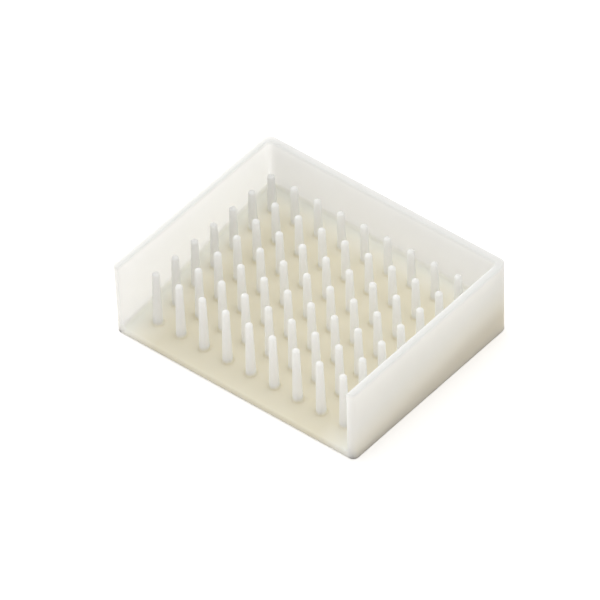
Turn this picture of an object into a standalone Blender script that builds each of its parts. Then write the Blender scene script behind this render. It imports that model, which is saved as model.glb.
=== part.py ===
"""Silicone soap tray that drains a bar of soap beside a basin.

The tray is one soft moulding. Its floor falls towards the open front, so that water runs
off it, and carries a square grid of tapered pins that all end at one level and hold the
bar up. A drafted wall stands on the other three sides, and the floor is a thin skin
with an open hollow below it.

The moulding is modelled as four solids: the floor with its pins, and the three walls.
X runs along the width, +Y points to the back wall and +Z up. The origin is the middle of
the footprint on the counter.
"""

import math

import bmesh
import bpy
from mathutils import Matrix

MM = 0.001

# Outer form, measured at the rim
tray_width = 106.0 * MM
tray_depth = 84.0 * MM
tray_height = 30.5 * MM
outer_draft = 0.4 * MM  # how far the foot stands in from the rim, on each side
corner_radius = 3.2 * MM  # upright corners at the back

# Walls
wall_at_rim = 2.8 * MM
wall_at_foot = 3.1 * MM
nose_radius = 2.6 * MM  # rounded outer edge of a side wall's front end
nose_inner_edge = 0.2 * MM  # least flat that the rounding leaves on the nose
rim_rounding = 0.6 * MM

# Drain floor
lip_height = 2.5 * MM  # top of the floor at the open front
floor_thickness = 2.4 * MM
floor_fall = math.radians(6.3)
front_foot_width = 3.5 * MM
lip_rounding = 0.8 * MM
cove_radius = 1.5 * MM  # hollow fillet along the foot of the walls and up their corners
cove_edge = 0.25 * MM  # thickness of the floor's upturned edge beside a wall

# Pins
column_pitch = 10.3 * MM
row_pitch = 10.3 * MM
first_row_inset = 9.4 * MM  # from the front of the rim to the middle of the first row
pin_wall_distance = 6.0 * MM  # least distance from the middle of a pin to a wall
pin_top = 26.8 * MM  # height of every tip above the counter
pin_tip_diameter = 2.6 * MM
pin_tip_rise = 1.0 * MM  # height of the rounded tip
pin_taper = math.radians(1.45)
pin_root_fillet = 0.7 * MM
pin_burial = 0.6 * MM  # how deep a pin runs into the floor that it is joined to

# Gap between neighbouring solids of the moulding, and how far a cutter runs past them
piece_gap = 0.3 * MM
cut_overrun = 3.0 * MM

# Facets
pin_sides = 12
tip_steps = 3
fillet_steps = 2
corner_steps = 6
cove_steps = 3
lip_steps = 3
rounding_steps = 2
SHARP_ANGLE = math.radians(35)
same_place = 0.1 * MM  # points nearer than this to a face lie on it


def outer_half(size_at_rim, z):
    """Half of an outer size of the tray at height z."""
    return size_at_rim / 2 - outer_draft * (1 - z / tray_height)


def wall_thickness(z):
    return wall_at_foot + (wall_at_rim - wall_at_foot) * z / tray_height


def inner_half(size_at_rim, z):
    """Half of the clear size between facing walls at height z."""
    return outer_half(size_at_rim, z) - wall_thickness(z)


def joint_y():
    """Where the side walls end and the back wall with its two corners begins."""
    return inner_half(tray_depth, 0) - cove_radius - piece_gap


def floor_top(y):
    return lip_height + (y + tray_depth / 2) * math.tan(floor_fall)


def floor_underside(y):
    return floor_top(y) - floor_thickness / math.cos(floor_fall)


def arc(centre_x, centre_y, radius, start, end, steps):
    """Points along a round stretch of an outline. The angles are in degrees."""
    angles = (math.radians(start + (end - start) * i / steps) for i in range(steps + 1))
    return [(centre_x + radius * math.cos(a), centre_y + radius * math.sin(a)) for a in angles]


def side_wall_outline(z):
    """Plan of the right wall at height z, from the inside of its front end anticlockwise."""
    outer, inner = outer_half(tray_width, z), inner_half(tray_width, z)
    front, back = -outer_half(tray_depth, z), joint_y() - piece_gap / 2
    radius = min(nose_radius, wall_thickness(z) - nose_inner_edge)
    nose = arc(outer - radius, front + radius, radius, -90, 0, corner_steps)
    return [(inner, front)] + nose + [(outer, back), (inner, back)]


def back_wall_outline(z):
    """Plan of the back wall and its two rounded corners at height z, anticlockwise."""
    half_x, half_y = outer_half(tray_width, z), outer_half(tray_depth, z)
    clear_x, clear_y = inner_half(tray_width, z), inner_half(tray_depth, z)
    front = joint_y() + piece_gap / 2
    outside = [(half_x, front)]
    outside += arc(half_x - corner_radius, half_y - corner_radius, corner_radius, 0, 90, corner_steps)
    inside = arc(clear_x - cove_radius, clear_y - cove_radius, cove_radius, 90, 0, corner_steps)
    inside += [(clear_x, front)]
    mirrored = [[(-x, y) for x, y in reversed(run)] for run in (outside, inside)]
    return outside + mirrored[0] + mirrored[1] + inside


def mesh_object(name, mesh, collection):
    """An object made from a finished bmesh, with its faces pointing out."""
    bmesh.ops.recalc_face_normals(mesh, faces=mesh.faces)
    data = bpy.data.meshes.new(name)
    mesh.to_mesh(data)
    mesh.free()
    made = bpy.data.objects.new(name, data)
    collection.objects.link(made)
    return made


def loft(mesh, low, high):
    """Joins two outlines with the same number of points and closes both ends."""
    lower = [mesh.verts.new(point) for point in low]
    upper = [mesh.verts.new(point) for point in high]
    for i, j in zip(range(len(lower)), list(range(1, len(lower))) + [0]):
        mesh.faces.new((lower[i], lower[j], upper[j], upper[i]))
    mesh.faces.new(lower[::-1])
    mesh.faces.new(upper)


def weigh_edges(mesh, chosen):
    """Marks the edges that a Bevel modifier is to round."""
    weight = mesh.edges.layers.float.new("bevel_weight_edge")
    for edge in mesh.edges:
        edge[weight] = float(chosen(*(vert.co for vert in edge.verts)))


def round_edges(part, width, steps):
    bevel = part.modifiers.new("rounding", "BEVEL")
    bevel.limit_method = "WEIGHT"
    bevel.width = width
    bevel.segments = steps


def drafted_wall(name, outline, joint, collection):
    """A wall whose plan changes evenly from foot to rim, with every rim edge rounded
    but those at the joint with the next wall."""
    mesh = bmesh.new()
    loft(mesh, *([(x, y, z) for x, y in outline(z)] for z in (0, tray_height)))
    at_rim = tray_height - same_place

    def on_rim(a, b):
        across_joint = abs(a.y - joint) + abs(b.y - joint) < same_place
        return a.z > at_rim and b.z > at_rim and not across_joint

    weigh_edges(mesh, on_rim)
    wall = mesh_object(name, mesh, collection)
    round_edges(wall, rim_rounding, rounding_steps)
    return wall


def side_wall(name, side, collection):
    """The right wall for side 1 and its mirror image, the left wall, for side -1."""
    def outline(z):
        return [(side * x, y) for x, y in side_wall_outline(z)]

    return drafted_wall(name, outline, joint_y() - piece_gap / 2, collection)


def back_wall(name, collection):
    return drafted_wall(name, back_wall_outline, joint_y() + piece_gap / 2, collection)


def slab_profile():
    """Side view of the floor before its bed is cut, as (y, z) points."""
    front_foot = -tray_depth / 2 + front_foot_width
    back = inner_half(tray_depth, 0) - piece_gap
    upturn = cove_radius - piece_gap
    return [
        (-outer_half(tray_depth, 0), 0),
        (-outer_half(tray_depth, lip_height + upturn), lip_height + upturn),
        (back, floor_top(back) + upturn),
        (back, floor_underside(back)),
        (front_foot, floor_underside(front_foot)),
        (front_foot, 0),
    ]


def lip_curve():
    """Side view of the rounded front edge of the floor, as (y, z) points going up."""
    centre_y = -outer_half(tray_depth, lip_height) + lip_rounding
    centre_z = floor_top(centre_y) - lip_rounding / math.cos(floor_fall)
    return arc(centre_y, centre_z, lip_rounding, 180, 90 + math.degrees(floor_fall), lip_steps)


def bed_profile():
    """Side view of the space over the floor. Its lower line runs down the lip and on past it
    in a straight line, then up the falling floor to the back."""
    (y0, z0), (y1, z1) = lip_curve()[:2]
    ahead = -tray_depth / 2 - cut_overrun
    run_out = y0 - (y1 - y0) * (z0 + cut_overrun) / (z1 - z0)
    back = inner_half(tray_depth, 0) - piece_gap - cove_edge
    lower = [(ahead, -cut_overrun), (run_out, -cut_overrun)] + lip_curve()[1:]
    return lower + [(back, floor_top(back)), (back, tray_height), (ahead, tray_height)]


def between_walls(mesh, profile, clearance):
    """A side view carried across the tray, its ends leaning with the side walls."""
    ends = []
    for side in (-1, 1):
        ends.append([(side * (inner_half(tray_width, z) - clearance), y, z) for y, z in profile])
    loft(mesh, *ends)


def bed(name, collection):
    """The space over the floor, with the coves as its rounded edges."""
    mesh = bmesh.new()
    between_walls(mesh, bed_profile(), piece_gap + cove_edge)
    ahead = -tray_depth / 2 - cut_overrun + same_place
    back = inner_half(tray_depth, 0) - cove_radius

    def beside_wall(a, b):
        inside = min(a.y, b.y) > ahead and min(a.z, b.z) < tray_height - same_place
        return inside and (a.x * b.x > 0 or min(a.y, b.y) > back)

    weigh_edges(mesh, beside_wall)
    space = mesh_object(name, mesh, collection)
    round_edges(space, cove_radius, cove_steps)
    return space


def floor_slab(name, collection):
    """The floor before its bed is cut and without its pins."""
    mesh = bmesh.new()
    between_walls(mesh, slab_profile(), piece_gap)
    back = inner_half(tray_depth, 0) - cove_radius

    def upright_corner(a, b):
        return a.x * b.x > 0 and min(a.y, b.y) > back

    weigh_edges(mesh, upright_corner)
    slab = mesh_object(name, mesh, collection)
    round_edges(slab, cove_radius, corner_steps)
    return slab


def pin_profile(floor_level):
    """Radius and height of one pin, from the middle of its tip down to its buried end."""
    tip = pin_tip_diameter / 2
    shoulder = pin_top - pin_tip_rise
    root_level = floor_level + pin_root_fillet
    root = tip + (shoulder - root_level) * math.tan(pin_taper)
    turns = [math.pi / 2 * i / tip_steps for i in range(tip_steps + 1)]
    points = [(tip * math.sin(a), shoulder + pin_tip_rise * math.cos(a)) for a in turns]
    for step in range(fillet_steps):
        a = math.pi / 2 * (1 - step / fillet_steps)
        flare = pin_root_fillet * (1 - math.sin(a))
        points.append((root + flare, floor_level + pin_root_fillet * (1 - math.cos(a))))
    buried = floor_level - pin_burial
    return points + [(root + pin_root_fillet, buried), (0, buried)]


def turned_mesh(name, profile, collection):
    """The mesh of a profile turned about Z by a Screw modifier."""
    mesh = bmesh.new()
    points = [mesh.verts.new((radius, 0, z)) for radius, z in profile]
    for pair in zip(points, points[1:]):
        mesh.edges.new(pair)
    data = bpy.data.meshes.new(name)
    mesh.to_mesh(data)
    mesh.free()
    guide = bpy.data.objects.new(name, data)
    collection.objects.link(guide)
    screw = guide.modifiers.new("turn", "SCREW")
    screw.steps = screw.render_steps = pin_sides
    screw.use_merge_vertices = True
    screw.merge_threshold = same_place / 10
    graph = bpy.context.evaluated_depsgraph_get()
    turned = bpy.data.meshes.new_from_object(guide.evaluated_get(graph))
    bpy.data.objects.remove(guide)
    return turned


def column_places():
    """Where the columns of pins stand along X, as many as fit between the side walls."""
    clear = inner_half(tray_width, 0) - pin_wall_distance
    steps = math.floor(2 * clear / column_pitch)
    return [(i - steps / 2) * column_pitch for i in range(steps + 1)]


def row_places():
    """Where the rows of pins stand along Y, as many as fit from the first to the back wall."""
    first = -tray_depth / 2 + first_row_inset
    last = inner_half(tray_depth, 0) - pin_wall_distance
    steps = math.floor((last - first) / row_pitch)
    return [first + i * row_pitch for i in range(steps + 1)]


def pin_field(name, collection):
    """Every pin of the tray in one mesh. A row's pins are alike, and each row is shorter
    than the one before it, because the floor rises to the back."""
    field = bmesh.new()
    for y in row_places():
        pin = turned_mesh(name, pin_profile(floor_top(y)), collection)
        for vert in pin.vertices:
            if vert.co.z < floor_top(y) + pin_root_fillet / 2:
                vert.co.z += vert.co.y * math.tan(floor_fall)
        for x in column_places():
            copy = pin.copy()
            copy.transform(Matrix.Translation((x, y, 0)))
            field.from_mesh(copy)
            bpy.data.meshes.remove(copy)
        bpy.data.meshes.remove(pin)
    return mesh_object(name, field, collection)


def combine(part, operation, other):
    """Cuts another object from a part, or joins it to the part, and hides the other."""
    join = part.modifiers.new(other.name, "BOOLEAN")
    join.operation = operation
    join.solver = "EXACT"
    join.object = other
    other.display_type = "WIRE"
    other.hide_render = True


def pin_floor(name, collection, cutters):
    """The drain floor with its coves and with every pin joined to it."""
    slab = floor_slab(name, collection)
    combine(slab, "DIFFERENCE", bed("bed_space", cutters))
    combine(slab, "UNION", pin_field("pin_field", cutters))
    return slab


def silicone(name, colour, roughness):
    """Milky silicone rubber with a matt moulded skin."""
    material = bpy.data.materials.new(name)
    material.use_nodes = True
    shader = material.node_tree.nodes["Principled BSDF"]
    shader.inputs["Base Color"].default_value = (*colour, 1.0)
    shader.inputs["Roughness"].default_value = roughness
    shader.inputs["Metallic"].default_value = 0.0
    material.diffuse_color = (*colour, 1.0)
    return material


def finish(part, material, origin):
    part.data.materials.append(material)
    part.data.shade_smooth()
    part.data.set_sharp_from_angle(angle=SHARP_ANGLE)
    part.parent = origin


def build_tray():
    for old in list(bpy.data.objects):
        bpy.data.objects.remove(old, do_unlink=True)
    tray = bpy.data.collections.new("silicone_soap_tray")
    cutters = bpy.data.collections.new("cutters")
    for collection in (tray, cutters):
        bpy.context.scene.collection.children.link(collection)
    origin = bpy.data.objects.new("tray_origin", None)
    tray.objects.link(origin)

    parts = {
        pin_floor("pin_floor", tray, cutters): silicone("silicone_floor", (0.79, 0.76, 0.68), 0.45),
        side_wall("left_wall", -1, tray): silicone("silicone_left", (0.86, 0.87, 0.83), 0.45),
        side_wall("right_wall", 1, tray): silicone("silicone_right", (0.80, 0.79, 0.74), 0.45),
        back_wall("back_wall", tray): silicone("silicone_back", (0.84, 0.83, 0.79), 0.45),
    }
    for part, material in parts.items():
        finish(part, material, origin)
    for cutter in cutters.objects:
        cutter.parent = origin


build_tray()
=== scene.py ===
# %% [markdown]
# # A milky silicone soap tray
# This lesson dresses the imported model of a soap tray: a low tray of translucent silicone, open
# along the front, with a falling floor and 63 tapered pins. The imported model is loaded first.
# It is the fixed frame, so every size and place below is the real one, in metres.

import math

import bmesh
import bpy
from mathutils import Matrix, Vector


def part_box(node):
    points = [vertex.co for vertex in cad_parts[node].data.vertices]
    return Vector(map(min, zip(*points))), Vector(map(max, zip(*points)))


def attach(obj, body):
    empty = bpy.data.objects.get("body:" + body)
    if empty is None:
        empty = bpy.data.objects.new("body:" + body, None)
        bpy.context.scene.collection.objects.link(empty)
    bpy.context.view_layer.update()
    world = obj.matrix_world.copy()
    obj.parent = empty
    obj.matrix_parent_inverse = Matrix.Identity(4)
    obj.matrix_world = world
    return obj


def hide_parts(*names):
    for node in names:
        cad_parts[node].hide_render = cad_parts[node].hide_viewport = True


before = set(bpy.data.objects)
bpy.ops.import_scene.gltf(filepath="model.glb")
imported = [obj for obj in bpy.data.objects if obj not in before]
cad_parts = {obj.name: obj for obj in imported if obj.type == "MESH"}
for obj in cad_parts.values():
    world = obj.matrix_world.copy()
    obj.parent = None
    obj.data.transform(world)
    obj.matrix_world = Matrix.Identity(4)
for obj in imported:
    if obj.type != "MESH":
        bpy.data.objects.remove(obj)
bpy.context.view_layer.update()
MM = 0.001


print("nodes:", sorted(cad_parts))

# %% [markdown]
# ## Sizes
# The real tray comes out of one mould, so its walls lean a little for draft and every edge has a
# radius. The sizes sit together here, because all the surfaces below share them: a wall, the cove
# at its foot and the floor meet only if they are worked out from the same numbers.

# %% Sizes of the shell
WIDTH = 106.0 * MM
DEPTH = 84.0 * MM
HEIGHT = 30.5 * MM
DRAFT = 0.4 * MM
WALL_AT_RIM = 2.8 * MM
WALL_AT_FOOT = 3.1 * MM
CORNER_RADIUS = 3.2 * MM
NOSE_RADIUS = 2.2 * MM
NOSE_EDGE_RADIUS = 0.35 * MM
RIM_RADIUS = 0.5 * MM
FOOT_RADIUS = 0.3 * MM
COVE_RADIUS = 1.5 * MM
LIP_RADIUS = 0.8 * MM
LIP_HEIGHT = 2.5 * MM
FLOOR_FALL = math.radians(6.3)
FLOOR_THICKNESS = 2.4 * MM
FRONT_FOOT = 3.5 * MM
print("clear width at the foot in mm:", round((WIDTH - 2 * (DRAFT + WALL_AT_FOOT)) / MM, 1))

# %% Sizes of the pins
PIN_COLUMNS = 9
PIN_ROWS = 7
PIN_PITCH = 10.3 * MM
FIRST_ROW = 9.4 * MM
PIN_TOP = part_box("pin_floor")[1].z
TIP_RADIUS = 1.3 * MM
TIP_RISE = 1.0 * MM
PIN_TAPER = math.radians(1.45)
ROOT_FILLET = 0.7 * MM
print("pins end", round(PIN_TOP / MM, 2), "mm above the counter")

# %% [markdown]
# ## Where the faces lie
# Draft makes each wall lean, so half of the tray's width is a function of the height. The floor is
# a plane that falls to the front. These small functions say where the faces are, and the patches
# further down only ask them.

# %% Faces of the moulding as functions
def outer_half(size, z):
    """Half of an outer size at height z."""
    return size / 2 - DRAFT * (1 - z / HEIGHT)


def inner_half(size, z):
    """Half of the clear size between the walls at height z."""
    return outer_half(size, z) - WALL_AT_FOOT + (WALL_AT_FOOT - WALL_AT_RIM) * z / HEIGHT


def floor_top(y):
    """Height of the floor's upper face."""
    return LIP_HEIGHT + (y + DEPTH / 2) * math.tan(FLOOR_FALL)


def floor_under(y):
    """Height of the floor's underside."""
    return floor_top(y) - FLOOR_THICKNESS / math.cos(FLOOR_FALL)


OUTER_LEAN = math.atan2(DRAFT, HEIGHT)
INNER_LEAN = math.atan2(inner_half(WIDTH, HEIGHT) - inner_half(WIDTH, 0), HEIGHT)
FLOOR_NORMAL = Vector((0, -math.sin(FLOOR_FALL), math.cos(FLOOR_FALL)))
print("walls lean", round(math.degrees(INNER_LEAN), 2), "degrees inside")

# %% [markdown]
# ## Patches
# A moulded shell could be cut from a block with Boolean and Bevel modifiers. That is quick, but
# where a 3.2 mm corner meets a 0.5 mm rim a Bevel leaves creases. Here the skin is woven from
# patches instead. Each is a grid of points, and neighbours share the points of their seam, so a
# merge at the end makes one closed skin with clean rounded edges. Only the right half is woven,
# and a mirror makes the left one.

# %% A patch of quads
def weave(mesh, rows, closed=False):
    """Weaves quads between rows that have the same number of points."""
    woven = [[mesh.verts.new(point) for point in row] for row in rows]
    for low, high in zip(woven, woven[1:]):
        for i in range(len(low) - (0 if closed else 1)):
            j = (i + 1) % len(low)
            mesh.faces.new((low[i], low[j], high[j], high[i]))


tray_mesh = bmesh.new()
print("the skin starts with", len(tray_mesh.faces), "faces")

# %% [markdown]
# ## The grid under the pins
# The pins stand on a square grid, and each gets a square cell of floor around it. The floor's
# other patches take over the points on the edge of these cells, so the grid comes first.

# %% Places of the pins and of their cells
CELL_STEPS = 8


def spread(start, end, steps):
    """Evenly spaced values from start to end."""
    return [start + (end - start) * i / steps for i in range(steps + 1)]


ROW_PLACES = [-DEPTH / 2 + FIRST_ROW + i * PIN_PITCH for i in range(PIN_ROWS)]
CELLS_FRONT = ROW_PLACES[0] - PIN_PITCH / 2
CELLS_BACK = ROW_PLACES[-1] + PIN_PITCH / 2
GRID_X = spread(0, PIN_COLUMNS * PIN_PITCH / 2, PIN_COLUMNS * CELL_STEPS // 2)
GRID_Y = spread(CELLS_FRONT, CELLS_BACK, PIN_ROWS * CELL_STEPS)
print("cells run from", round(CELLS_FRONT / MM, 2), "to", round(CELLS_BACK / MM, 2), "mm")

# %% [markdown]
# ## Directions and upright faces
# The walls, their corners and their rounded front ends are all upright faces that lean. One
# function makes them all: it is told which way the face looks, and answers with a function of the
# height. A face along a wall keeps the x or y that it is given, and a corner works out both.

# %% A direction and an upright face
def direction(degrees):
    """A level unit vector, 0 degrees towards the right wall and 90 towards the back wall."""
    turn = math.radians(degrees)
    return Vector((math.cos(turn), math.sin(turn), 0))


def upright(half, radius, out, x=None, y=None, end=1):
    """A function for the point of a wall's face at any height. `half` gives the face's distance
    from the middle, and `out` points out of it. Without x or y the point lies on a rounded
    upright corner, at the back for end 1 and at the front for end -1."""
    def at(z):
        across = half(WIDTH, z) - radius + radius * out.x if x is None else x
        along = end * (half(DEPTH, z) - radius) + radius * out.y if y is None else y
        return Vector((across, along, z))

    return at


corner_at_rim = upright(outer_half, CORNER_RADIUS, direction(45))(HEIGHT)
print("middle of the right back corner in mm:", [round(number / MM, 2) for number in corner_at_rim])

# %% [markdown]
# ## Coves
# Along its foot each wall curves into the floor in a cove, the hollow fillet that lets a mould
# release and water run off. A ball rolled along the corner between floor and wall would leave this
# shape, so every cove is drawn from the middle of that ball. At the back, how high the ball lies
# depends on how far back it is, and the other way round, so its place is found in a few rounds.

# %% The ball that draws the coves
SETTLE_ROUNDS = 8


def ball_height(y):
    """Height of the middle of a ball that rests on the floor."""
    return floor_top(y) + COVE_RADIUS / math.cos(FLOOR_FALL)


def ball_half(size, y):
    """Distance from the tray's middle to the ball where it also touches a wall."""
    touch = ball_height(y) - COVE_RADIUS * math.sin(INNER_LEAN)
    return inner_half(size, touch) - COVE_RADIUS * math.cos(INNER_LEAN)


BALL_BACK = 0.0
for _ in range(SETTLE_ROUNDS):
    BALL_BACK = ball_half(DEPTH, BALL_BACK)
BALL_TO_FLOOR = COVE_RADIUS * math.sin(FLOOR_FALL)
FLOOR_BACK = BALL_BACK + BALL_TO_FLOOR
print("floor ends", round((DEPTH / 2 - FLOOR_BACK) / MM, 2), "mm before the back")

# %% [markdown]
# ## Sections of the inside
# A section is one row of points from the floor up the cove, up the wall and over the rounded inner
# edge of the rim. An outline could also be carried along a path by a curve with a bevel object,
# but this one changes on the way, because the floor rises. So each section is worked out where it
# stands, always with the same number of points, which lets its neighbours be woven to it.

# %% One section of the inside
COVE_STEPS = 6
WALL_STEPS = 4
EDGE_STEPS = 5
CLOSE_ROW = 0.5 * MM
NEXT_ROW = 1.5 * MM
UP = Vector((0, 0, 1))


def wall_rows(z_low):
    """Heights up a wall to its rounded rim, closer together beside the ends."""
    top = HEIGHT - RIM_RADIUS * (1 - math.sin(INNER_LEAN))
    middle = spread(z_low + NEXT_ROW, top - NEXT_ROW, WALL_STEPS)
    return [z_low + CLOSE_ROW] + middle + [top - CLOSE_ROW, top]


RIM_TURNS = spread(INNER_LEAN, math.pi / 2, EDGE_STEPS)[1:]


def inside_section(ball, out, face):
    """Points from the floor up the cove and the wall to the flat of the rim."""
    level = out * math.cos(INNER_LEAN)
    wall_side = Vector((level.x, level.y, -math.sin(INNER_LEAN)))
    bends = [(-FLOOR_NORMAL).slerp(wall_side, share) for share in spread(0, 1, COVE_STEPS)]
    cove = [ball + COVE_RADIUS * bend for bend in bends]
    wall = [face(z) for z in wall_rows(cove[-1].z)]
    middle = face(HEIGHT - RIM_RADIUS) + out * RIM_RADIUS / math.cos(INNER_LEAN)
    rim = [middle + RIM_RADIUS * (math.sin(a) * UP - math.cos(a) * out) for a in RIM_TURNS]
    return cove + wall + rim


print("rows up a wall:", len(wall_rows(0)))

# %% Sections at the side, in a corner and at the back
def side_ball(floor_y):
    """Middle of the ball that touches the right wall, and the floor at floor_y."""
    y = floor_y - BALL_TO_FLOOR
    return Vector((ball_half(WIDTH, y), y, ball_height(y)))


def side_section(floor_y):
    """The right wall's section where the ball touches the floor at floor_y."""
    ball = side_ball(floor_y)
    out = direction(0)
    return inside_section(ball, out, upright(inner_half, COVE_RADIUS, out, y=ball.y))


def corner_section(out):
    """A section of the right back corner. The ball stands still, and the section turns."""
    ball = Vector((ball_half(WIDTH, BALL_BACK), BALL_BACK, ball_height(BALL_BACK)))
    return inside_section(ball, out, upright(inner_half, COVE_RADIUS, out))


def back_section(x):
    """The back wall's section at x."""
    ball = Vector((x, BALL_BACK, ball_height(BALL_BACK)))
    out = direction(90)
    return inside_section(ball, out, upright(inner_half, COVE_RADIUS, out, x=x))


print("points in a section:", len(side_section(0)))

# %% [markdown]
# ## The open front
# At the front, the floor ends in a rounded lip and each side wall in a nose. Their inner edge is
# one rounded line that runs over the lip, up the cove and up the nose, and its radius shrinks on
# the way.

# %% Radius of the front edge
COVE_END = COVE_STEPS
WALL_END = COVE_END + len(wall_rows(0))


def edge_radius(i):
    """Radius of the front edge at point i of the section."""
    if i <= COVE_END:
        return LIP_RADIUS + (NOSE_EDGE_RADIUS - LIP_RADIUS) * i / COVE_END
    if i <= WALL_END:
        return NOSE_EDGE_RADIUS
    return NOSE_EDGE_RADIUS * math.cos(RIM_TURNS[i - WALL_END - 1])


def rim_inset(i):
    """How far the rounded rim has drawn the front face back at point i."""
    return RIM_RADIUS * (1 - math.cos(RIM_TURNS[i - WALL_END - 1])) if i > WALL_END else 0.0


print("front edge in mm:", round(edge_radius(0) / MM, 2), "to", round(edge_radius(WALL_END) / MM, 2))

# %% [markdown]
# ## Arcs round the front edge
# Each point of the side section gets its own small arc, from where it leaves the inside to where
# it meets the front face. A Bevel modifier can follow vertex weights, but it would choose by
# itself where the rounding starts. Here the start is moved in a few rounds, until the arc ends
# on the front face.

# %% Arcs from the inside round to the front face
PROBE = 0.1 * MM


def into_wall(i, section, floor_y):
    """Unit vector from point i of a side section into the silicone."""
    if i > WALL_END:
        return direction(0)
    if i > COVE_END:
        return Vector((math.cos(INNER_LEAN), 0, -math.sin(INNER_LEAN)))
    return (section[i] - side_ball(floor_y)).normalized()


def front_arc(i):
    """The arc of section point i round the front edge, and the floor_y where it starts."""
    floor_y = -DEPTH / 2 + edge_radius(i)
    for _ in range(SETTLE_ROUNDS):
        section = side_section(floor_y)
        ahead = (section[i] - side_section(floor_y + PROBE)[i]).normalized()
        down = into_wall(i, section, floor_y)
        last = math.atan2(-ahead.y, down.y)
        reach = edge_radius(i) * ((1 - math.cos(last)) * down.y + math.sin(last) * ahead.y)
        start = rim_inset(i) - outer_half(DEPTH, section[i].z) - reach
        floor_y += start - section[i].y
    start = side_section(floor_y)[i]
    arc = [
        start + edge_radius(i) * ((1 - math.cos(a)) * down + math.sin(a) * ahead)
        for a in spread(0, last, EDGE_STEPS)
    ]
    return arc, floor_y


FRONT_ARCS = [front_arc(i) for i in range(WALL_END + EDGE_STEPS + 1)]
lip_arc, lip_start = FRONT_ARCS[0]
print("lip starts", round((lip_start + DEPTH / 2) / MM, 2), "mm behind the front")

# %% [markdown]
# ## Outside of the walls
# The outside needs sections too, from the flat of the rim over its outer edge and down to the
# rounded foot. A Solidify modifier on the inside could make them, but its walls would be equally
# thick all the way up, and these are thinner at the rim. Up a wall the outer rows lie about level
# with those inside, because at the nose the two meet round the front face.

# %% Sections of the outside
nose_tip = upright(outer_half, NOSE_RADIUS, direction(-90), end=-1)
COVE_HALF = COVE_END // 2
COVE_TOP = FRONT_ARCS[COVE_END][0][-1].z
OUTER_LEVELS = spread(FOOT_RADIUS, COVE_TOP, COVE_END - COVE_HALF)
OUTER_LEVELS += wall_rows(COVE_TOP)[:-1]


def outside_section(face, out):
    """Points from the flat of the rim over its outer edge and down to the rounded foot."""
    middle = face(HEIGHT - RIM_RADIUS) - out * RIM_RADIUS / math.cos(OUTER_LEAN)
    turns = spread(math.pi / 2, -OUTER_LEAN, EDGE_STEPS)
    rim = [middle + RIM_RADIUS * (math.sin(a) * UP + math.cos(a) * out) for a in turns]
    return rim + [face(z) for z in reversed(OUTER_LEVELS)]


print("rows on the outside, under the rim:", len(OUTER_LEVELS))

# %% [markdown]
# ## Stations round the tray
# The walls are woven by carrying a section round the tray, from the nose along the side, round the
# corner and along the back. Each stop is a station: it has the points of the inside, the outer
# face and the direction in which that face looks.

# %% Places of the stations
CORNER_STEPS = 12
APRON_STEPS = 3
BACK_STRIP_STEPS = 4
NOSE_END = -DEPTH / 2 + NOSE_RADIUS
NOSE_TURNS = spread(-90, 0, CORNER_STEPS)
CORNER_TURNS = spread(0, 90, CORNER_STEPS)
APRON_Y = spread(NOSE_END, CELLS_FRONT, APRON_STEPS)
BACK_STRIP_Y = spread(CELLS_BACK, FLOOR_BACK, BACK_STRIP_STEPS)
SIDE_Y = APRON_Y[1:-1] + GRID_Y + BACK_STRIP_Y[1:-1]


def nose_inside(share):
    """The inside beside the nose. At share 0 each point is at the start of its front arc."""
    places = [floor_y + (NOSE_END - floor_y) * share for _, floor_y in FRONT_ARCS]
    return [side_section(y)[i] for i, y in enumerate(places)]


print("stations along a side wall:", len(SIDE_Y))

# %% Weave the walls
stations = []
for step, turn in enumerate(NOSE_TURNS):
    out = direction(turn)
    face = upright(outer_half, NOSE_RADIUS, out, end=-1)
    stations.append((nose_inside(step / CORNER_STEPS), face, out))
for floor_y in SIDE_Y:
    out = direction(0)
    face = upright(outer_half, CORNER_RADIUS, out, y=floor_y - BALL_TO_FLOOR)
    stations.append((side_section(floor_y), face, out))
for turn in CORNER_TURNS:
    out = direction(turn)
    stations.append((corner_section(out), upright(outer_half, CORNER_RADIUS, out), out))
for x in reversed(GRID_X):
    out = direction(90)
    stations.append((back_section(x), upright(outer_half, CORNER_RADIUS, out, x=x), out))

wall_sections = [inside + outside_section(face, out) for inside, face, out in stations]
weave(tray_mesh, wall_sections)
print("stations:", len(stations), "points in each:", len(wall_sections[0]))

# %% [markdown]
# ## The front face
# Below the lip and on the noses the front face is a narrow flat band. It is woven between the ends
# of the small arcs and an outer line, which runs along the foot and then up the nose. Halfway up
# the cove the outer line turns its corner.

# %% Weave the lip, the front edges and the front face
def front_foot(x):
    """The front face's lowest point at x, where the rounded foot starts."""
    return Vector((x, -outer_half(DEPTH, FOOT_RADIUS), FOOT_RADIUS))


columns = [[Vector((x, point.y, point.z)) for point in lip_arc] for x in GRID_X]
columns += [arc for arc, _ in FRONT_ARCS]

cove_foot_x = spread(lip_arc[0].x, nose_tip(FOOT_RADIUS).x, COVE_HALF)[:-1]
FRONT_X = GRID_X + cove_foot_x
nose_line = list(reversed(outside_section(nose_tip, direction(-90))))
outer_line = [front_foot(x) for x in FRONT_X] + nose_line

for column, end in zip(columns, outer_line, strict=True):
    column.append(end)
weave(tray_mesh, columns)
print("columns across half of the front:", len(columns))

# %% [markdown]
# ## Foot and hollow
# A tray that is moulded in one piece would sink and warp if its raised floor were solid, so the
# floor is a thin skin and the tray stands on the lower edges of its walls and a narrow front foot.
# The ring of the foot is woven as one closed band: the rounded outer edge, the flat that rests on
# the counter, the rounded inner edge and the wall of the hollow.

# %% One section of the foot
HOLLOW_STEPS = 4


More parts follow.
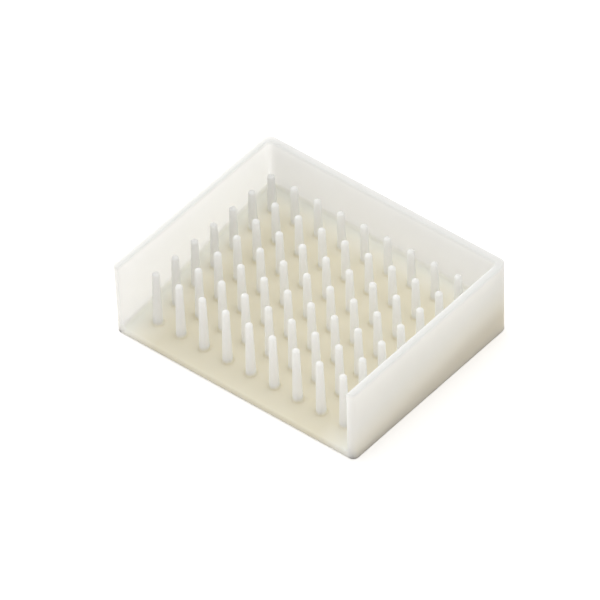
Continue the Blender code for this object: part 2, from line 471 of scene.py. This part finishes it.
def foot_section(face, hollow, out):
    """Points from the outer face under the wall and up the hollow to the floor's underside."""
    quarter = spread(0, math.pi / 2, EDGE_STEPS)
    outer_middle = face(FOOT_RADIUS) - out * FOOT_RADIUS
    outer = [outer_middle + FOOT_RADIUS * (math.cos(a) * out - math.sin(a) * UP) for a in quarter]
    inner_middle = hollow(FOOT_RADIUS) + out * FOOT_RADIUS
    inner = [inner_middle - FOOT_RADIUS * (math.sin(a) * out + math.cos(a) * UP) for a in quarter]
    top = hollow(FOOT_RADIUS)
    for _ in range(SETTLE_ROUNDS):
        top = hollow(floor_under(top.y))
    return outer + inner + [hollow(z) for z in spread(FOOT_RADIUS, top.z, HOLLOW_STEPS)[1:]]


print("foot is rounded in", EDGE_STEPS, "steps on each side")

# %% Faces of the hollow, one for each outer face
def hollow_half(size, z):
    """Like inner_half, but the hollow starts behind the front foot."""
    return DEPTH / 2 - FRONT_FOOT if size == DEPTH else inner_half(size, z)


def between(values, low, high):
    """The same pattern of values, stretched to run from low to high."""
    first, last = values[0], values[-1]
    return [low + (high - low) * (value - first) / (last - first) for value in values]


hollow_x = inner_half(WIDTH, 0) - COVE_RADIUS
hollow_front = -DEPTH / 2 + FRONT_FOOT + COVE_RADIUS
hollow_faces = []
for x in between(FRONT_X + [nose_tip(0).x], 0, hollow_x)[:-1]:
    hollow_faces.append(upright(hollow_half, COVE_RADIUS, direction(-90), x=x, end=-1))
for turn in NOSE_TURNS:
    hollow_faces.append(upright(hollow_half, COVE_RADIUS, direction(turn), end=-1))
for y in between([NOSE_END] + SIDE_Y + [FLOOR_BACK], hollow_front, BALL_BACK)[1:-1]:
    hollow_faces.append(upright(inner_half, COVE_RADIUS, direction(0), y=y))
for turn in CORNER_TURNS:
    hollow_faces.append(upright(inner_half, COVE_RADIUS, direction(turn)))
for x in reversed(GRID_X):
    hollow_faces.append(upright(inner_half, COVE_RADIUS, direction(90), x=x))
print("faces round half of the hollow:", len(hollow_faces))

# %% Weave the foot and the hollow, and close it under the floor
front_out = direction(-90)
outer_faces = [
    (upright(outer_half, NOSE_RADIUS, front_out, x=x, end=-1), front_out) for x in FRONT_X
]
outer_faces += [(face, out) for _, face, out in stations]
foot_sections = [
    foot_section(face, hollow, out)
    for (face, out), hollow in zip(outer_faces, hollow_faces, strict=True)
]
weave(tray_mesh, foot_sections)
tray_mesh.faces.new([tray_mesh.verts.new(section[-1]) for section in foot_sections])
print("hollow is", round(foot_sections[-1][-1].z / MM, 2), "mm high at the back")

# %% [markdown]
# ## The floor
# Four flat strips join the field of pins to the lip, the coves and the back. They could be one
# face with a hole in it, but quads that share the points of both sides keep the shading even.

# %% Weave the floor round the pins
def floor_point(x, y):
    """The point of the floor's upper face at x and y."""
    return Vector((x, y, floor_top(y)))


def floor_rows(places):
    """Rows of floor points from the tray's middle to the cove, one at each place."""
    return [[floor_point(x, y) for x in GRID_X] + [side_section(y)[0]] for y in places]


nose_places = [inside[0].y for inside, _, _ in stations[:CORNER_STEPS + 1]]
weave(tray_mesh, floor_rows(nose_places + APRON_Y[1:]))
weave(tray_mesh, [[floor_point(GRID_X[-1], y), side_section(y)[0]] for y in GRID_Y])
weave(tray_mesh, floor_rows(BACK_STRIP_Y))
print("floor rises to", round(floor_top(FLOOR_BACK) / MM, 2), "mm at the back")

# %% [markdown]
# ## Pins
# Each pin is a tapered post with a domed tip and a small fillet at its root, moulded with the
# floor. A cylinder pushed into the floor would leave a hard line there. So each pin is woven from
# rings, starting at the square edge of its cell: the ring turns from a square into a circle, runs
# up the fillet, whose height follows the falling floor, and closes over the tip.

# %% Points on the edge of a cell
PIN_SIDES = 4 * CELL_STEPS


def cell_edge(step):
    """A point on the edge of a cell, counted from the middle of its front, from its centre."""
    half = CELL_STEPS // 2
    side, along = divmod(step + half, CELL_STEPS)
    x, y = along - half, -half
    for _ in range(side % 4):
        x, y = -y, x
    return Vector((x, y, 0)) * PIN_PITCH / CELL_STEPS


print("points in a ring:", PIN_SIDES)

# %% [markdown]
# ## One side of a pin
# A Screw modifier turns an outline into a post, but only with a level foot. This pin stands on a
# slope, so its outline is worked out for each direction. The fillet is a small circle that touches
# both the floor and the tapered shaft, and its middle is found in a few rounds.

# %% Outline of a pin in one direction
FILLET_STEPS = 5
SHAFT_STEPS = 4
TIP_STEPS = 7
SHOULDER = PIN_TOP - TIP_RISE


def pin_side(out, floor_level):
    """Distance from the axis and height of each point up one side of a pin."""
    slope = math.tan(FLOOR_FALL) * out.y
    stretch = math.hypot(1, slope)
    height = floor_level
    for _ in range(SETTLE_ROUNDS):
        width = TIP_RADIUS + (SHOULDER - height) * math.tan(PIN_TAPER)
        width += ROOT_FILLET / math.cos(PIN_TAPER)
        height = floor_level + slope * width + ROOT_FILLET * stretch
    turns = spread(math.atan2(-1, slope), PIN_TAPER - math.pi, FILLET_STEPS)
    side = [(width + ROOT_FILLET * math.cos(a), height + ROOT_FILLET * math.sin(a)) for a in turns]
    for z in spread(side[-1][1], SHOULDER, SHAFT_STEPS)[1:]:
        side.append((TIP_RADIUS + (SHOULDER - z) * math.tan(PIN_TAPER), z))
    for a in spread(0, math.pi / 2, TIP_STEPS)[1:]:
        side.append((TIP_RADIUS * math.cos(a), SHOULDER + TIP_RISE * math.sin(a)))
    return side


print("points up a pin:", len(pin_side(direction(0), floor_top(0))))

# %% Weave the right half of the pins
MIDDLE_RING_SHARE = 0.55


def pin_rings(x, y, steps):
    """The rings of a pin at x, y. Each has a point for every step round the pin."""
    columns = []
    for step in steps:
        out = direction(360 * step / PIN_SIDES - 90)
        corner = cell_edge(step)
        edge = floor_point(x + corner.x, y + corner.y)
        side = [Vector((x, y, z)) + out * reach for reach, z in pin_side(out, floor_top(y))]
        columns.append([edge, edge.lerp(side[0], MIDDLE_RING_SHARE)] + side)
    return list(zip(*columns))


for y in ROW_PLACES:
    weave(tray_mesh, pin_rings(0, y, range(PIN_SIDES // 2 + 1)))
    for i in range(1, PIN_COLUMNS // 2 + 1):
        weave(tray_mesh, pin_rings(i * PIN_PITCH, y, range(PIN_SIDES)), closed=True)
print("pins:", PIN_COLUMNS * PIN_ROWS)

# %% [markdown]
# ## One closed skin
# Merging the shared points turns the patches into one surface, and the mirror adds the left half.
# A closed skin has exactly two faces at every edge. That is counted here, because light that
# travels inside the silicone needs an inside to travel in.

# %% Merge, mirror and count
MERGE = 0.001 * MM
MILLILITRE = (10 * MM) ** 3
bmesh.ops.remove_doubles(tray_mesh, verts=tray_mesh.verts, dist=MERGE)
half_skin = tray_mesh.verts[:] + tray_mesh.edges[:] + tray_mesh.faces[:]
bmesh.ops.mirror(tray_mesh, geom=half_skin, axis="X", merge_dist=MERGE)
bmesh.ops.recalc_face_normals(tray_mesh, faces=tray_mesh.faces)
open_edges = [edge for edge in tray_mesh.edges if len(edge.link_faces) != 2]
print("points:", len(tray_mesh.verts), "faces:", len(tray_mesh.faces), "open:", len(open_edges))
print("volume in ml:", round(tray_mesh.calc_volume() / MILLILITRE, 2))

# %% [markdown]
# ## Even shading
# Smooth shading alone lets the small faces of a rounded edge tilt the light on the large flat ones
# beside it. A Weighted Normal modifier lets the large faces decide, and the few edges that are
# sharper than 40 degrees stay sharp.

# %% Make the tray's object
SHARP_ANGLE = math.radians(40)
tray_data = bpy.data.meshes.new("silicone_tray")
tray_mesh.to_mesh(tray_data)
tray_mesh.free()
tray_data.shade_smooth()
tray_data.set_sharp_from_angle(angle=SHARP_ANGLE)
tray = bpy.data.objects.new("silicone_tray", tray_data)
bpy.context.collection.objects.link(tray)
flat_faces = tray.modifiers.new("flat_faces", "WEIGHTED_NORMAL")
flat_faces.keep_sharp = True
print("sides of the tray in mm:", [round(side / MM, 2) for side in tray.dimensions])

# %% [markdown]
# ## Milky silicone
# Silicone scatters light inside, so a thin wall glows and shadows stay soft. The Principled shader
# does this with its subsurface part: light goes in, wanders about and comes out somewhere else.
# Its nodes can be laid out by hand in the Shader Editor. Here code makes them, so that each number
# can be read, and a few helpers keep that short.

# %% A material, and a helper that fills sockets
def new_material(name):
    """A material with a Principled shader."""
    material = bpy.data.materials.new(name)
    material.use_nodes = True
    return material


def feed(tree, socket, value):
    """Sets a socket to a number, vector or colour, or links it to another node's output."""
    if isinstance(value, bpy.types.NodeSocket):
        tree.links.new(value, socket)
    else:
        socket.default_value = value


silicone = new_material("translucent_silicone")
tree = silicone.node_tree
print("new material:", silicone.name)

# %% [markdown]
# ## Where on the tray
# On the real tray some places look denser than others, and the floor carries a warmer, darker tint
# that is painted shade, so the material has to know where it is. It could learn that from painted
# weights or a UV map. Positions on the object need neither, and they stay with the tray when it
# moves. The floor is tilted, so the height above it is measured along its normal and not along Z.

# %% Positions on the tray
def calculate(tree, operation, first, second=0.0):
    """A Math node on two values, of which ABSOLUTE uses only the first."""
    node = tree.nodes.new("ShaderNodeMath")
    node.operation = operation
    feed(tree, node.inputs[0], first)
    feed(tree, node.inputs[1], second)
    return node.outputs["Value"]


def along(tree, vector, axis):
    """How far a vector reaches along an axis of length 1, which is their dot product."""
    node = tree.nodes.new("ShaderNodeVectorMath")
    node.operation = "DOT_PRODUCT"
    feed(tree, node.inputs[0], vector)
    feed(tree, node.inputs[1], axis)
    return node.outputs["Value"]


place = tree.nodes.new("ShaderNodeTexCoord").outputs["Object"]
axes = tree.nodes.new("ShaderNodeSeparateXYZ")
feed(tree, axes.inputs["Vector"], place)
aside = calculate(tree, "ABSOLUTE", axes.outputs["X"])
behind = axes.outputs["Y"]
over_counter = axes.outputs["Z"]
floor_plane = FLOOR_NORMAL.dot(floor_point(0, 0))
over_floor = calculate(tree, "SUBTRACT", along(tree, place, FLOOR_NORMAL), floor_plane)
print("the floor's plane passes the origin at", round(floor_plane / MM, 2), "mm")

# %% [markdown]
# ## Masks
# A mask is a value that is 1 in its place, 0 elsewhere and soft at its edge. One could also tell
# the floor from the walls by the direction of their normals, but the coves turn from one to the
# other, and that would draw dark rings round the roots of the pins.

# %% Helpers for masks
def ramp(tree, value, start, end, at_start=0.0, at_end=1.0):
    """Goes from at_start to at_end while the value goes from start to end, and stays there. The
    first five inputs of a Map Range node are these numbers, in this order."""
    node = tree.nodes.new("ShaderNodeMapRange")
    for socket, number in zip(node.inputs[:5], (value, start, end, at_start, at_end)):
        feed(tree, socket, number)
    return node.outputs["Result"]


def within(value, edge, fade):
    """1 up to an edge, fading to 0 beyond it."""
    return ramp(tree, value, edge, edge + fade, 1.0, 0.0)


def both(first, second):
    """The product of two masks, or of a mask and a share."""
    return calculate(tree, "MULTIPLY", first, second)


clear_x = inner_half(WIDTH, 0)
clear_y = inner_half(DEPTH, 0)
inside = both(within(aside, clear_x, WALL_AT_FOOT), within(behind, clear_y, WALL_AT_FOOT))
outside = calculate(tree, "SUBTRACT", 1.0, inside)
print("inside of the walls up to", round(clear_x / MM, 1), "and", round(clear_y / MM, 1), "mm")

# %% Masks for the floor, the pins, the foot and the rim
BED_HEIGHT = 0.3 * MM
BED_FADE = 1.7 * MM
PALE_REACH = 14.0 * MM
PIN_FADE = 2.0 * MM
PIN_SHARE = 0.3
FOOT_START = -5.0 * MM
FOOT_END = 12.0 * MM
FOOT_SHARE = 0.8
RIM_FADE = 3 * RIM_RADIUS
RIM_SHARE = 0.5

bed = both(inside, within(over_floor, BED_HEIGHT, BED_FADE))
beside_sides = ramp(tree, aside, clear_x - PALE_REACH, clear_x)
beside_back = ramp(tree, behind, clear_y - PALE_REACH, clear_y)
# painted light: how near a wall the floor is painted paler
painted_glow_beside_walls = calculate(tree, "MAXIMUM", beside_sides, beside_back)
pin_field = both(within(aside, GRID_X[-1], PIN_FADE), within(behind, CELLS_BACK, PIN_FADE))
foot = both(outside, ramp(tree, over_floor, FOOT_START, FOOT_END, FOOT_SHARE, 0.0))
rim = ramp(tree, over_counter, HEIGHT - RIM_FADE, HEIGHT)
print("nodes for the masks:", len(tree.nodes))

# %% [markdown]
# ## Colour
# The walls are a milky white that is a little cloudy, which a large soft noise gives. Over it lie
# painted light and shade. The pins are painted a touch paler and warmer, as painted light for the
# glow they gather from the walls. The floor is painted khaki, as painted shade and warm bounce from
# light that has passed through more silicone, and it is painted paler beside the walls, as painted
# light where their glow falls. For the same reason the outside of the walls is painted a shade
# darker than the inside and warmer towards the foot, as painted shade. The rim faces the light, and
# a greyer colour, painted shade, keeps it as quiet as the wall below it.

# %% Colours in the photograph's light, several of them painted light and shade
MILK = (0.87, 0.88, 0.86, 1.0)
CLOUDY_MILK = (0.855, 0.855, 0.83, 1.0)
# painted light: the pins are painted paler and warmer than the walls, for the glow they gather
PIN_PAINTED_LIGHT = (0.93, 0.92, 0.865, 1.0)
# painted shade: the outside of the walls is painted darker than the inside
OUTER_PAINTED_SHADE = (0.75, 0.735, 0.685, 1.0)
# painted shade and warm bounce: the outside is painted darker and warmer towards the foot
FOOT_PAINTED_WARM_SHADE = (0.76, 0.69, 0.55, 1.0)
# painted shade and warm bounce: the floor is painted a darker khaki
FLOOR_PAINTED_SHADE = (0.81, 0.765, 0.625, 1.0)
# painted light: the floor is painted paler beside the walls, where their glow falls
FLOOR_PAINTED_WALL_GLOW = (0.97, 0.945, 0.865, 1.0)
# painted shade: the rim, which faces the light, is painted greyer
RIM_PAINTED_SHADE = (0.68, 0.685, 0.67, 1.0)
print("blue to red on the floor:", round(FLOOR_PAINTED_SHADE[2] / FLOOR_PAINTED_SHADE[0], 2))
print("blue to red on a wall:", round(MILK[2] / MILK[0], 2))

# %% Nodes for noise and for mixing colours
COLOUR_INPUTS = slice(6, 8)
COLOUR_OUTPUT = 2


def noise(tree, place, scale, detail):
    """A noise texture on real positions. The scale counts waves to the metre."""
    texture = tree.nodes.new("ShaderNodeTexNoise")
    feed(tree, texture.inputs["Vector"], place)
    feed(tree, texture.inputs["Scale"], scale)
    feed(tree, texture.inputs["Detail"], detail)
    return texture.outputs["Fac"]


def mix_colours(tree, share, first, second):
    """The first colour at share 0 and the second at share 1. A Mix node has sockets for numbers,
    vectors and colours under the same names, so those for colours are found by their places."""
    node = tree.nodes.new("ShaderNodeMix")
    node.data_type = "RGBA"
    feed(tree, node.inputs["Factor"], share)
    for socket, colour in zip(node.inputs[COLOUR_INPUTS], (first, second)):
        feed(tree, socket, colour)
    return node.outputs[COLOUR_OUTPUT]


print("nodes before the colours:", len(tree.nodes))

# %% Colour of the silicone
CLOUD_WAVES = 45.0
CLOUD_DETAIL = 3.0
CLEAR_BELOW = 0.35
CLOUDY_ABOVE = 0.65

cloud = ramp(tree, noise(tree, place, CLOUD_WAVES, CLOUD_DETAIL), CLEAR_BELOW, CLOUDY_ABOVE)
colour = mix_colours(tree, cloud, MILK, CLOUDY_MILK)
colour = mix_colours(tree, pin_field, colour, PIN_PAINTED_LIGHT)
colour = mix_colours(tree, outside, colour, OUTER_PAINTED_SHADE)
colour = mix_colours(tree, foot, colour, FOOT_PAINTED_WARM_SHADE)
colour = mix_colours(tree, bed, colour, mix_colours(tree, painted_glow_beside_walls, FLOOR_PAINTED_SHADE, FLOOR_PAINTED_WALL_GLOW))
colour = mix_colours(tree, rim, colour, RIM_PAINTED_SHADE)
shader = tree.nodes["Principled BSDF"]
feed(tree, shader.inputs["Base Color"], colour)
print("clouds are about", round(1 / CLOUD_WAVES / MM), "mm across")

# %% [markdown]
# ## How far light travels
# The subsurface scale is the mean distance that light goes inside. In the walls it is several
# times their thickness, so they let light through as the real ones do. The floor and the foot get a
# short one: they lie against the dark hollow, and would lose their light to it. Pins and rim lie
# in between. Blue goes a little less far than red and green, which leaves a trace of warmth.

# %% Light inside the silicone
WALL_TRAVEL = 25.0 * MM
DENSE_TRAVEL = 2.0 * MM
TRAVEL_SHARES = (1.0, 1.0, 0.95)
SILICONE_IOR = 1.41

dense = bed
for mask in (both(pin_field, PIN_SHARE), foot, both(rim, RIM_SHARE)):
    dense = calculate(tree, "MAXIMUM", dense, mask)
travel = ramp(tree, dense, 0.0, 1.0, WALL_TRAVEL, DENSE_TRAVEL)
feed(tree, shader.inputs["Subsurface Scale"], travel)
shader.inputs["Subsurface Weight"].default_value = 1.0
shader.inputs["Subsurface Radius"].default_value = TRAVEL_SHARES
shader.inputs["IOR"].default_value = SILICONE_IOR
print("light travels", round(WALL_TRAVEL / WALL_AT_FOOT, 1), "wall thicknesses in a wall")

# %% [markdown]
# ## Matt skin
# The mould has a fine spark-eroded skin, and silicone copies it. Roughness near a half spreads
# the highlights, a noise varies it in patches of a few millimetres, and a finer noise drives a
# bump that is only 0.2 mm deep. A real displacement of that size would cost millions of faces and
# look the same.

# %% Roughness of the skin
SKIN_WAVES = 260.0
SKIN_DETAIL = 4.0
SMOOTH_BELOW = 0.3
ROUGH_ABOVE = 0.7
LEAST_ROUGH = 0.46
MOST_ROUGH = 0.60
SKIN_SPECULAR = 0.35

patches = noise(tree, place, SKIN_WAVES, SKIN_DETAIL)
matt = ramp(tree, patches, SMOOTH_BELOW, ROUGH_ABOVE, LEAST_ROUGH, MOST_ROUGH)
feed(tree, shader.inputs["Roughness"], matt)
shader.inputs["Specular IOR Level"].default_value = SKIN_SPECULAR
print("patches are about", round(1 / SKIN_WAVES / MM, 1), "mm across")

# %% Grain of the skin
GRAIN_WAVES = 900.0
GRAIN_DETAIL = 3.0
GRAIN_STRENGTH = 0.12
GRAIN_DEPTH = 0.2 * MM

grain = tree.nodes.new("ShaderNodeBump")
feed(tree, grain.inputs["Height"], noise(tree, place, GRAIN_WAVES, GRAIN_DETAIL))
feed(tree, grain.inputs["Strength"], GRAIN_STRENGTH)
feed(tree, grain.inputs["Distance"], GRAIN_DEPTH)
feed(tree, shader.inputs["Normal"], grain.outputs["Normal"])
print("nodes in the material:", len(tree.nodes))

# %% [markdown]
# ## Put the tray in its place
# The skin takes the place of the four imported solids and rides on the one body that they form. The
# solids stay in the model for collision, out of sight.

# %% Dress the tray
tray.data.materials.append(silicone)
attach(tray, "root")
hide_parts("pin_floor", "left_wall", "right_wall", "back_wall")
print("tray has", len(tray.data.polygons), "faces and one material")

# %% [markdown]
# ## Floor and backdrop
# A product photograph has a white sweep that runs up behind the object. Here the floor and the
# world are white only to rays that look at them, so no extra light falls on the tray. The Light
# Path node tells those rays from the ones that carry light. The floor's white is a surface that
# still takes the tray's shadow, and a weak glow lifts the rest of it to full white.

# %% White where it is looked at
WHITE = (1.0, 1.0, 1.0, 1.0)


def looked_at(tree):
    """1 for rays from the camera, in gloss or through glass, and 0 for those that carry light."""
    paths = tree.nodes.new("ShaderNodeLightPath")
    gloss_or_glass = calculate(
        tree, "MAXIMUM", paths.outputs["Is Glossy Ray"], paths.outputs["Is Transmission Ray"]
    )
    return calculate(tree, "MAXIMUM", gloss_or_glass, paths.outputs["Is Camera Ray"])


print("looked at, the floor and the world are", WHITE[:3])

# %% Material of the floor
FLOOR_CREAM = (0.88, 0.84, 0.77, 1.0)
FLOOR_ROUGHNESS = 0.6
FLOOR_GLOW = 0.2


def pale_floor():
    """The floor's material: cream for the rays that carry light, and white to look at."""
    material = new_material("pale_floor")
    tree = material.node_tree
    shader = tree.nodes["Principled BSDF"]
    shader.inputs["Base Color"].default_value = FLOOR_CREAM
    shader.inputs["Roughness"].default_value = FLOOR_ROUGHNESS
    white = tree.nodes.new("ShaderNodeBsdfDiffuse")
    white.inputs["Color"].default_value = WHITE
    glow = tree.nodes.new("ShaderNodeEmission")
    glow.inputs["Strength"].default_value = FLOOR_GLOW
    seen = tree.nodes.new("ShaderNodeAddShader")
    feed(tree, seen.inputs[0], white.outputs["BSDF"])
    feed(tree, seen.inputs[1], glow.outputs["Emission"])
    pick = tree.nodes.new("ShaderNodeMixShader")
    feed(tree, pick.inputs["Fac"], looked_at(tree))
    feed(tree, pick.inputs[1], shader.outputs["BSDF"])
    feed(tree, pick.inputs[2], seen.outputs["Shader"])
    feed(tree, tree.nodes["Material Output"].inputs["Surface"], pick.outputs["Shader"])
    return material


cream_or_white = pale_floor()
print("nodes in the floor's material:", len(cream_or_white.node_tree.nodes))

# %% Lay the floor
FLOOR_HALF = 3.0
FLOOR_GAP = 0.02 * MM

floor_mesh = bmesh.new()
bmesh.ops.create_grid(floor_mesh, x_segments=1, y_segments=1, size=FLOOR_HALF)
floor_data = bpy.data.meshes.new("floor")
floor_mesh.to_mesh(floor_data)
floor_mesh.free()
floor = bpy.data.objects.new("floor", floor_data)
floor.location.z = -FLOOR_GAP
floor.data.materials.append(cream_or_white)
bpy.context.collection.objects.link(floor)
print("floor is", 2 * FLOOR_HALF, "m wide")

# %% [markdown]
# ## Lamps
# Milky silicone looks best in soft light from all round, as in a white studio. A low lamp on the
# left shines on the outside of the left wall, which then glows on the inside, and one above gives
# the pins their soft shading. Both are large area lamps, because a small one would draw hard
# shadows.

# %% Lamps
def soft_lamp(name, place, size, power):
    """A square area lamp that looks at the middle of the tray."""
    data = bpy.data.lights.new(name, "AREA")
    data.size = size
    data.energy = power
    lamp = bpy.data.objects.new(name, data)
    lamp.location = place
    lamp.rotation_euler = (-Vector(place)).to_track_quat("-Z", "Y").to_euler()
    bpy.context.collection.objects.link(lamp)
    print(name, "lamp is", round(Vector(place).length, 2), "m away, with", power, "W")


soft_lamp("key", place=(-0.6, 0.15, 0.17), size=0.5, power=1.6)
soft_lamp("top", place=(0.1, 0.05, 0.62), size=0.4, power=1.0)

# %% [markdown]
# ## World
# The world stands for the studio's walls, and is dimmer on the right, where the tray is darker in
# the photograph. A picture of a real studio would light the tray as well, but matt silicone shows
# no reflections of it, and a simple slope of brightness keeps the file free of pictures.

# %% World
BRIGHT_SIDE = Vector((-0.97, 0.25, 0)).normalized()
BRIGHT_STRENGTH = 0.86
DIM_STRENGTH = 0.56


def studio_world():
    """White where it is looked at, and elsewhere brighter on one side than on the other."""
    world = bpy.data.worlds.new("studio")
    world.use_nodes = True
    tree = world.node_tree
    towards = tree.nodes.new("ShaderNodeTexCoord").outputs["Generated"]
    light = ramp(tree, along(tree, towards, BRIGHT_SIDE), -1.0, 1.0, DIM_STRENGTH, BRIGHT_STRENGTH)
    strength = tree.nodes.new("ShaderNodeMix")
    feed(tree, strength.inputs["Factor"], looked_at(tree))
    feed(tree, strength.inputs["A"], light)
    feed(tree, strength.inputs["B"], 1.0)
    feed(tree, tree.nodes["Background"].inputs["Strength"], strength.outputs["Result"])
    tree.nodes["Background"].inputs["Color"].default_value = WHITE
    return world


bpy.context.scene.world = studio_world()
bpy.context.scene.view_settings.view_transform = "Standard"
print("world strength runs from", DIM_STRENGTH, "to", BRIGHT_STRENGTH)

# %% [markdown]
# ## Camera
# The photograph was taken from far away with a long lens, from the right of the front and well
# above it. Its angles were found by laying the tray's edges over the photograph's. A Track To
# constraint could aim the camera, but it would hold it level, and the photograph is a little
# rolled. So the camera's own axes are worked out from the three angles.

# %% Axes of the camera
AZIMUTH = math.radians(40.8762)
ELEVATION = math.radians(43.4276)
ROLL = math.radians(-2.2058)

back = Vector((
    math.sin(AZIMUTH) * math.cos(ELEVATION),
    -math.cos(AZIMUTH) * math.cos(ELEVATION),
    math.sin(ELEVATION),
))
level = UP.cross(back).normalized()
rise = back.cross(level)
right = math.cos(ROLL) * level + math.sin(ROLL) * rise
above = math.cos(ROLL) * rise - math.sin(ROLL) * level
print("camera looks from", [round(number, 2) for number in back])

# %% Camera
DISTANCE = 4.0
FOCAL_PIXELS = 11694.8
FRAME_PIXELS = 600
CENTRE_PIXEL = Vector((311.9997, 328.3995))
SENSOR = 36.0

shift = (CENTRE_PIXEL - Vector((FRAME_PIXELS, FRAME_PIXELS)) / 2) * DISTANCE / FOCAL_PIXELS
camera_data = bpy.data.cameras.new("camera")
camera_data.sensor_width = SENSOR
camera_data.lens = FOCAL_PIXELS / FRAME_PIXELS * SENSOR
camera = bpy.data.objects.new("camera", camera_data)
camera.matrix_world = Matrix.Translation(back * DISTANCE - right * shift.x + above * shift.y) @ (
    Matrix((right, above, back)).transposed().to_4x4()
)
bpy.context.collection.objects.link(camera)
bpy.context.scene.camera = camera
print("lens in mm:", round(camera_data.lens, 1))
